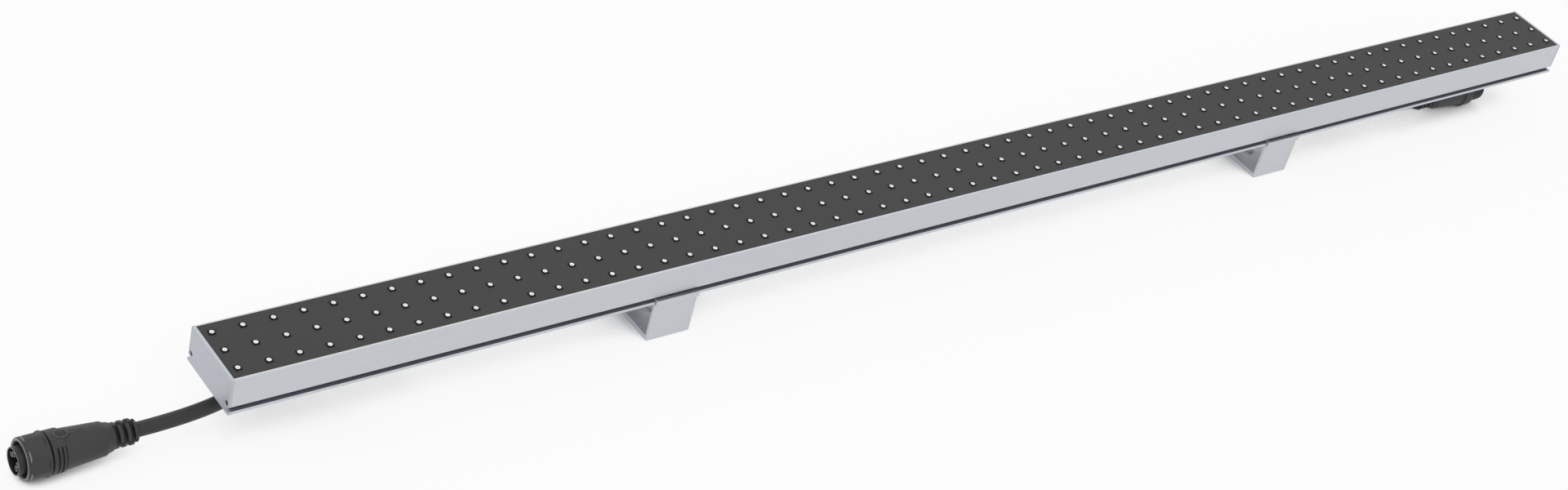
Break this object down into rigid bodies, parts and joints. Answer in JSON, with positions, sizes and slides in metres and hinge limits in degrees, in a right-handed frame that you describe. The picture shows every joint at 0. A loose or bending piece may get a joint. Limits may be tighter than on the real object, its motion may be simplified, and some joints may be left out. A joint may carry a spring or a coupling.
{
  "type": "led pixel tube",
  "caption": "Slim aluminium light bar with three rows of LEDs in black resin, two slide-on brackets, and a cable tail with a plug at each end.",
  "frame": {"origin": "on the surface under the brackets, below the middle of the bar", "axes": "+X along the bar towards the pin plug, +Z the way the light goes"},
  "size_m": [1.0962, 0.048, 0.0476],
  "materials": {
    "extrusion": "satin anodised",
    "cap_alloy": "satin painted",
    "bracket_alloy": "satin anodised",
    "led_body": "black moulded",
    "resin": "soft sheen casting",
    "circuit_board": "glass-fibre board",
    "chip_black": "moulded",
    "capacitor_can": "bright can",
    "terminal_green": "moulded",
    "seal_rubber": "matt",
    "screw_steel": "turned",
    "boot_rubber": "moulded matt",
    "core_copper": "stranded copper in sleeves",
    "cable_jacket": "satin jacket",
    "plug_moulding": "fine-grained moulding",
    "plug_insert": "moulded",
    "contact_metal": "plated",
    "nut_plastic": "satin moulded"
  },
  "bodies": {
    "bar": {"housing": "extrusion", "left_end_cap": "cap_alloy", "right_end_cap": "cap_alloy", "led_packages": "led_body", "black_resin": "resin", "led_board_1": "circuit_board", "led_board_2": "circuit_board", "led_board_3": "circuit_board", "led_board_4": "circuit_board", "left_driver_board": "circuit_board", "right_driver_board": "circuit_board", "driver_chips": "chip_black", "board_links": "chip_black", "driver_capacitors": "capacitor_can", "wire_terminals": "terminal_green", "left_end_seal": "seal_rubber", "right_end_seal": "seal_rubber", "end_cap_screws": "screw_steel", "cable_boots": "boot_rubber", "cable_cores": "core_copper", "cables": "cable_jacket", "plug_bodies": "plug_moulding", "socket_insert": "plug_insert", "pin_shell": "plug_insert", "socket_contacts": "contact_metal", "pin_contacts": "contact_metal"},
    "left_bracket": {"left_bracket": "bracket_alloy"},
    "right_bracket": {"right_bracket": "bracket_alloy"},
    "nut": {"coupling_nut": "nut_plastic"}
  },
  "joints": [
    {"name": "left_bracket_slide", "type": "slide", "parent": "bar", "child": "left_bracket", "axis": [1, 0, 0], "range_m": [-0.24, 0.2]},
    {"name": "right_bracket_slide", "type": "slide", "parent": "bar", "child": "right_bracket", "axis": [1, 0, 0], "range_m": [-0.2, 0.13]},
    {"name": "coupling_nut_spin", "type": "hinge", "parent": "bar", "child": "nut", "pos_m": [-0.588, -0.00255, 0.0115], "axis": [1, 0, 0], "continuous": true}
  ]
}
